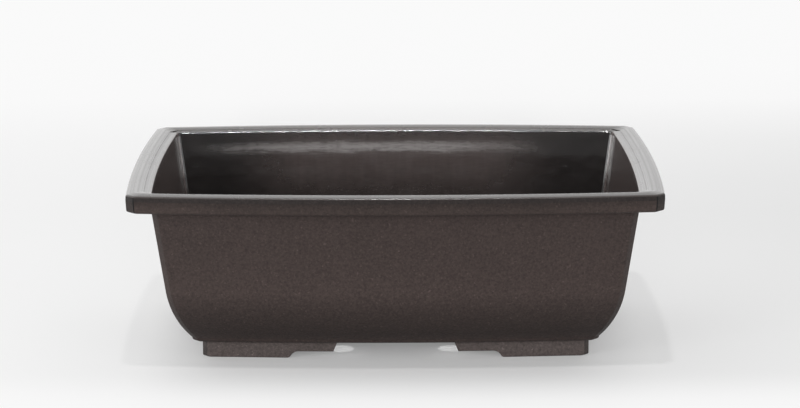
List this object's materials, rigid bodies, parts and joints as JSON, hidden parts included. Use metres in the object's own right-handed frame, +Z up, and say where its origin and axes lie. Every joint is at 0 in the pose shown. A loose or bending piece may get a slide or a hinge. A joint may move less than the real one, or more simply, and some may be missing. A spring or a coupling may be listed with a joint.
{
  "type": "bonsai pot",
  "caption": "Shallow rectangular bonsai pot in dark brown plastic, with bowed sides, a flat overhanging rim, drain holes and bracket feet.",
  "frame": {"origin": "on the surface that the feet stand on, under the middle of the pot", "axes": "+X along the pot's length, -Y towards its front long side, +Z up through its mouth"},
  "size_m": [0.301, 0.2108, 0.1021],
  "materials": {
    "grained_plastic": "fine sand-grain moulded surface, dark brown, low sheen",
    "smooth_plastic": "smooth satin moulded surface, dark brown"
  },
  "bodies": {
    "root": {"rim_flange_front": "smooth_plastic", "rim_lip_front": "grained_plastic", "wall_front": "grained_plastic", "rim_flange_right": "smooth_plastic", "rim_lip_right": "grained_plastic", "wall_right": "grained_plastic", "rim_flange_back": "smooth_plastic", "rim_lip_back": "grained_plastic", "wall_back": "grained_plastic", "rim_flange_left": "smooth_plastic", "rim_lip_left": "grained_plastic", "wall_left": "grained_plastic", "base_plate": "grained_plastic", "foot_front_right": "grained_plastic", "foot_front_left": "grained_plastic", "foot_back_right": "grained_plastic", "foot_back_left": "grained_plastic"}
  },
  "joints": []
}
